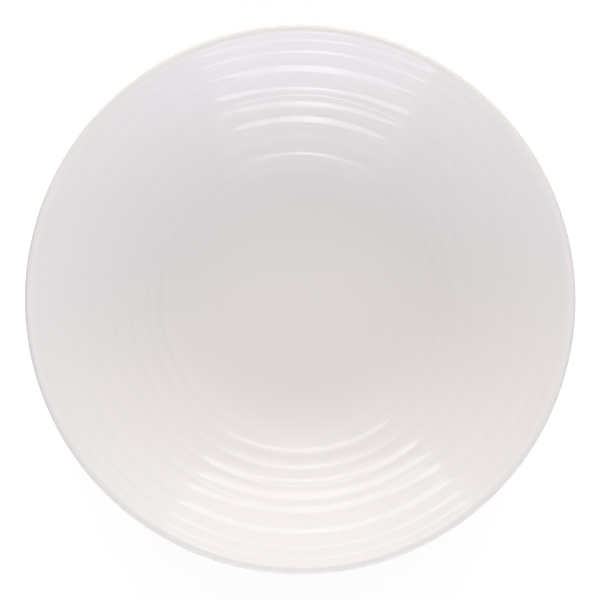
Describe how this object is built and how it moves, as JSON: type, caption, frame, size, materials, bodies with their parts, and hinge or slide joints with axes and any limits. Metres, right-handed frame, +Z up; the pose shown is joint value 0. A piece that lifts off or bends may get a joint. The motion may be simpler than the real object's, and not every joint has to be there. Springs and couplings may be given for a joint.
{
  "type": "soup plate",
  "caption": "Deep round coupe soup plate in glazed white porcelain, with concentric flutes up the wall, a full-round lip and a low foot ring.",
  "frame": {"origin": "centre of the foot ring's bearing face, on the plate's axis and on the table it stands on", "axes": "+Z up along the plate's axis, out of its bowl; the plate is round, so X and Y may lie either way"},
  "size_m": [0.23, 0.23, 0.045],
  "materials": {
    "fired_clay": "matte",
    "white_glaze": "gloss"
  },
  "bodies": {
    "root": {"plate_body": "fired_clay", "glaze_coat": "white_glaze", "recess_glaze": "white_glaze"}
  },
  "joints": []
}
